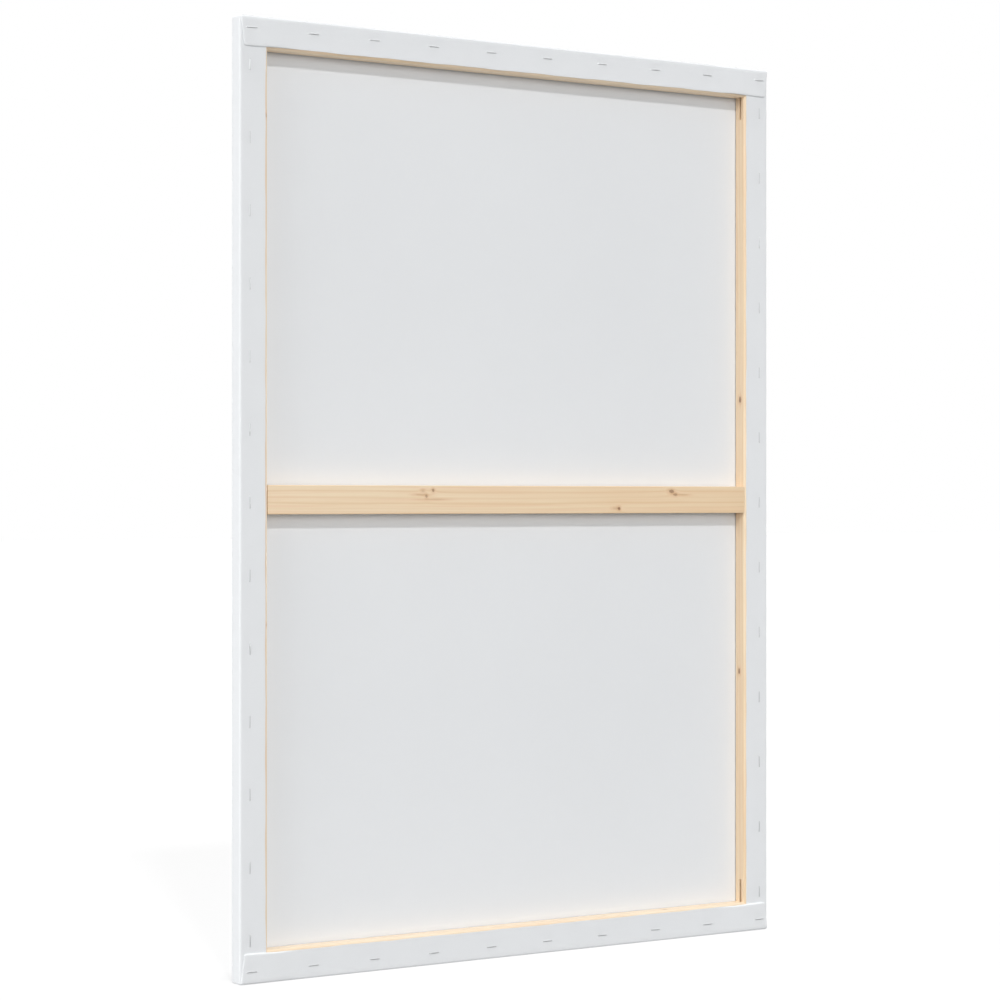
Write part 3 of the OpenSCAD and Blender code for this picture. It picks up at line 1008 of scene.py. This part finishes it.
class CANVAS_OT_bars(bpy.types.Operator):
    """Give the four stretcher bars their pine"""

    bl_idname = "stretched_canvas.bars"
    bl_label = "Stretcher bars"

    def execute(self, context):
        for node in BAR_NODES:
            dressed(node, context.scene.canvas_pine)
        return {"FINISHED"}


class CANVAS_OT_brace(bpy.types.Operator):
    """Give the cross brace its pine"""

    bl_idname = "stretched_canvas.brace"
    bl_label = "Cross brace"

    def execute(self, context):
        dressed("cross_brace", context.scene.canvas_pine)
        return {"FINISHED"}


# Stage

FLOOR_HALF = 30.0  # half the floor's width
SENSOR = 36.0  # width of the camera's sensor in mm
WHITE = (1.0, 1.0, 1.0, 1.0)
# Lamps by name: the way to the lamp, how wide it looks in degrees, and its strength
LAMPS = {
    "key": ((0.4, 1.0, 0.92), 4.0, 1.20),
    "overhead": ((0.0, 0.052, 1.0), 3.0, 1.22),
    "bounce": ((0.0, 0.06, -1.0), 6.0, 0.65),
    "far_side": ((-1.0, 0.06, 0.0), 3.0, 0.60),
    "fill": ((0.15, 1.0, 0.25), 26.0, 0.88),
    "side": ((1.0, 0.25, 0.3), 30.0, 0.91),
    "front_right": ((1.0, -0.5, 0.05), 50.0, 1.42),
    "front_left": ((-1.0, -0.8, 0.05), 50.0, 2.25),
}


def lay_floor(stage):
    """A pale floor that shows the object's shadow to the camera."""
    corners = FLOOR_HALF * np.array([[-1, -1, 0], [1, -1, 0], [1, 1, 0], [-1, 1, 0]], dtype=float)
    floor = mesh_object("floor", corners, np.array([[0, 1, 2, 3]]))
    material, tree, shader = new_material("pale_floor")
    path = tree.nodes.new("ShaderNodeLightPath")
    glow = maths("MULTIPLY", path.outputs["Is Camera Ray"], stage.floor_glow)
    supply(
        shader, Base_Color=(*stage.floor, 1.0), Roughness=0.9, Specular_IOR_Level=0.0,
        Emission_Color=WHITE, Emission_Strength=glow)
    floor.data.materials.append(material)
    floor.visible_diffuse = False  # it shows the shadow, but throws no light back up
    floor.visible_shadow = False  # the even light from below stands in for that light


def set_light(scene, stage):
    """Even light from all round, white where it is seen straight or in a reflection, and the lamps."""
    world = bpy.data.worlds.new("studio")
    world.use_nodes = True
    scene.world = world
    tree = world.node_tree
    tree.nodes.clear()
    path = tree.nodes.new("ShaderNodeLightPath")
    seen = maths("MAXIMUM", path.outputs["Is Glossy Ray"], path.outputs["Is Transmission Ray"])
    seen = maths("MAXIMUM", path.outputs["Is Camera Ray"], seen)
    background = put("Background", WHITE, ranged(seen, 0.0, 1.0, stage.sky, 1.0))
    output = tree.nodes.new("ShaderNodeOutputWorld")
    tree.links.new(background.outputs[0], output.inputs["Surface"])

    for name, (way, spread, strength) in LAMPS.items():
        lamp = bpy.data.lights.new(name, "SUN")
        lamp.energy = strength * stage.lamps
        lamp.angle = math.radians(spread)
        light = bpy.data.objects.new(name, lamp)
        light.rotation_euler = Vector(way).to_track_quat("Z", "Y").to_euler()
        scene.collection.objects.link(light)


def set_camera(scene, stage):
    """The level camera."""
    lens = bpy.data.cameras.new("camera")
    lens.lens = stage.lens
    lens.sensor_width = SENSOR
    camera = bpy.data.objects.new("camera", lens)
    camera.location = (stage.camera_x, stage.camera_y, stage.camera_z)
    camera.rotation_euler = (math.pi / 2, 0.0, stage.camera_turn)
    scene.collection.objects.link(camera)
    scene.camera = camera


class CANVAS_OT_stage(bpy.types.Operator):
    """Set the floor, the light and the camera"""

    bl_idname = "stretched_canvas.stage"
    bl_label = "Stage"

    def execute(self, context):
        scene, stage = context.scene, context.scene.canvas_stage
        scene.view_settings.view_transform = "Standard"
        lay_floor(stage)
        set_light(scene, stage)
        set_camera(scene, stage)
        return {"FINISHED"}


SETTINGS = {
    "canvas_cloth": ClothSettings,
    "canvas_pine": PineSettings,
    "canvas_staples": StapleSettings,
    "canvas_stage": StageSettings,
}
OPERATORS = (CANVAS_OT_cloth, CANVAS_OT_bars, CANVAS_OT_brace, CANVAS_OT_staples, CANVAS_OT_stage)


class CANVAS_PT_panel(bpy.types.Panel):
    """Sidebar panel with the settings and the steps"""

    bl_idname = "CANVAS_PT_panel"
    bl_label = "Stretched canvas"
    bl_space_type = "VIEW_3D"
    bl_region_type = "UI"
    bl_category = "Canvas"

    def draw(self, context):
        for name, kind in SETTINGS.items():
            box = self.layout.box()
            for field in kind.__annotations__:
                box.prop(getattr(context.scene, name), field)
        for operator in OPERATORS:
            self.layout.operator(operator.bl_idname)


CLASSES = (*SETTINGS.values(), *OPERATORS, CANVAS_PT_panel)


def register():
    """Registers the classes and hangs the settings on the scene."""
    for kind in CLASSES:
        bpy.utils.register_class(kind)
    for name, kind in SETTINGS.items():
        setattr(bpy.types.Scene, name, bpy.props.PointerProperty(type=kind))


def unregister():
    """Takes the settings off the scene and removes the classes."""
    for name in SETTINGS:
        delattr(bpy.types.Scene, name)
    for kind in reversed(CLASSES):
        bpy.utils.unregister_class(kind)


def main():
    """Builds every piece in order."""
    register()
    bpy.ops.stretched_canvas.stage()
    bpy.ops.stretched_canvas.cloth()
    bpy.ops.stretched_canvas.bars()
    bpy.ops.stretched_canvas.brace()
    bpy.ops.stretched_canvas.staples()


if __name__ == "__main__":
    main()
